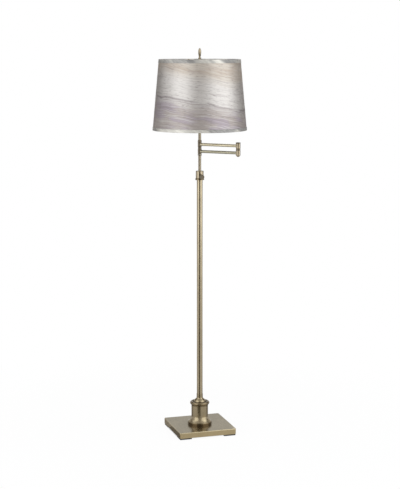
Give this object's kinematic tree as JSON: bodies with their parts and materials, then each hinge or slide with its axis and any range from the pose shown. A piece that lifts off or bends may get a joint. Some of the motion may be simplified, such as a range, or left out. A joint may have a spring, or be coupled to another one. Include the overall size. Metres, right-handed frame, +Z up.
{
  "type": "swing arm floor lamp",
  "caption": "Floor lamp with a square weighted base, a turned pedestal, a height-adjustable pole, a folding swing arm and a tapered drum shade on a harp.",
  "frame": {"origin": "on the floor under the pole's axis, which is also the middle of the base", "axes": "+Z up along the pole, -Y towards the front edge of the base, +X to the right"},
  "size_m": [0.4047, 0.4046, 1.6733],
  "materials": {
    "antique_brass": "satin brushed antique brass",
    "plated_steel": "zinc plated",
    "bright_brass": "bright brass plating",
    "base_iron": "rough cast",
    "black_rubber": "matt",
    "nylon": "natural nylon",
    "dark_resin": "moulded resin",
    "insulating_paper": "pressed paper",
    "lamp_metal": "bright",
    "frosted_glass": "frosted",
    "satin_fabric": "streaked satin",
    "trim_fabric": "satin tape",
    "styrene": "white liner"
  },
  "bodies": {
    "stand": {"base_cover": "antique_brass", "base_weight": "base_iron", "base_sheet": "plated_steel", "base_feet": "black_rubber", "cord_grommet": "black_rubber", "tie_rod": "plated_steel", "base_washer": "plated_steel", "base_nut": "plated_steel", "pedestal_bell": "antique_brass", "pedestal_sleeve": "antique_brass", "pedestal_cap": "antique_brass", "pole_plug": "plated_steel", "lower_pole": "antique_brass", "pole_coupling": "plated_steel", "upper_pole": "antique_brass", "guide_bush": "nylon", "clamp_collar": "antique_brass"},
    "clamp": {"clamp_screw": "plated_steel", "clamp_knob": "antique_brass"},
    "stem": {"stem_tube": "antique_brass", "stem_stop": "plated_steel", "stem_bearing": "antique_brass", "friction_washer": "nylon", "lower_pivot": "plated_steel", "lower_pivot_cap": "antique_brass"},
    "lower_arm": {"lower_arm_barrel": "antique_brass", "lower_arm_tube": "antique_brass", "elbow_lower_barrel": "antique_brass", "elbow_pin": "plated_steel", "elbow_spacer": "antique_brass", "elbow_cap": "antique_brass", "elbow_nut": "antique_brass"},
    "upper_arm": {"elbow_upper_barrel": "antique_brass", "upper_arm_tube": "antique_brass", "head_barrel": "antique_brass", "head_nipple": "plated_steel", "head_cap": "antique_brass", "riser_seat": "antique_brass", "riser_tube": "antique_brass", "socket_nipple": "plated_steel", "harp_saddle": "bright_brass", "harp": "bright_brass", "harp_ferrules": "bright_brass", "harp_stud": "antique_brass", "socket_cap": "bright_brass", "socket_shell": "bright_brass", "socket_liner": "insulating_paper", "socket_core": "dark_resin", "screw_shell": "lamp_metal", "bulb_foot": "lamp_metal", "bulb_globe": "frosted_glass"},
    "switch": {"switch_key": "dark_resin"},
    "shade": {"shade_fabric": "satin_fabric", "shade_liner": "styrene", "shade_fitter": "bright_brass", "shade_bottom_ring": "plated_steel", "shade_top_trim": "trim_fabric", "shade_bottom_trim": "trim_fabric"},
    "finial": {"finial": "antique_brass"}
  },
  "joints": [
    {"name": "height_slide", "type": "slide", "parent": "stand", "child": "stem", "axis": [0, 0, 1], "range_m": [-0.06, 0.2]},
    {"name": "lower_arm_swing", "type": "hinge", "parent": "stem", "child": "lower_arm", "pos_m": [0, 0, 1.2348], "axis": [0, 0, 1], "range_deg": [-165, 165]},
    {"name": "elbow_swing", "type": "hinge", "parent": "lower_arm", "child": "upper_arm", "pos_m": [0.13011, -0.13011, 1.2648], "axis": [0, 0, 1], "range_deg": [-170, 170]},
    {"name": "shade_turn", "type": "hinge", "parent": "upper_arm", "child": "shade", "pos_m": [0, 0, 1.6108], "axis": [0, 0, 1], "continuous": true},
    {"name": "finial_turn", "type": "hinge", "parent": "upper_arm", "child": "finial", "pos_m": [0, 0, 1.62], "axis": [0, 0, 1], "continuous": true},
    {"name": "switch_turn", "type": "hinge", "parent": "upper_arm", "child": "switch", "pos_m": [0, -0.03, 1.3753], "axis": [0, -1, 0], "continuous": true},
    {"name": "clamp_turn", "type": "hinge", "parent": "stand", "child": "clamp", "pos_m": [0, -0.02, 1.1271], "axis": [0, -1, 0], "range_deg": [0, 720]}
  ]
}
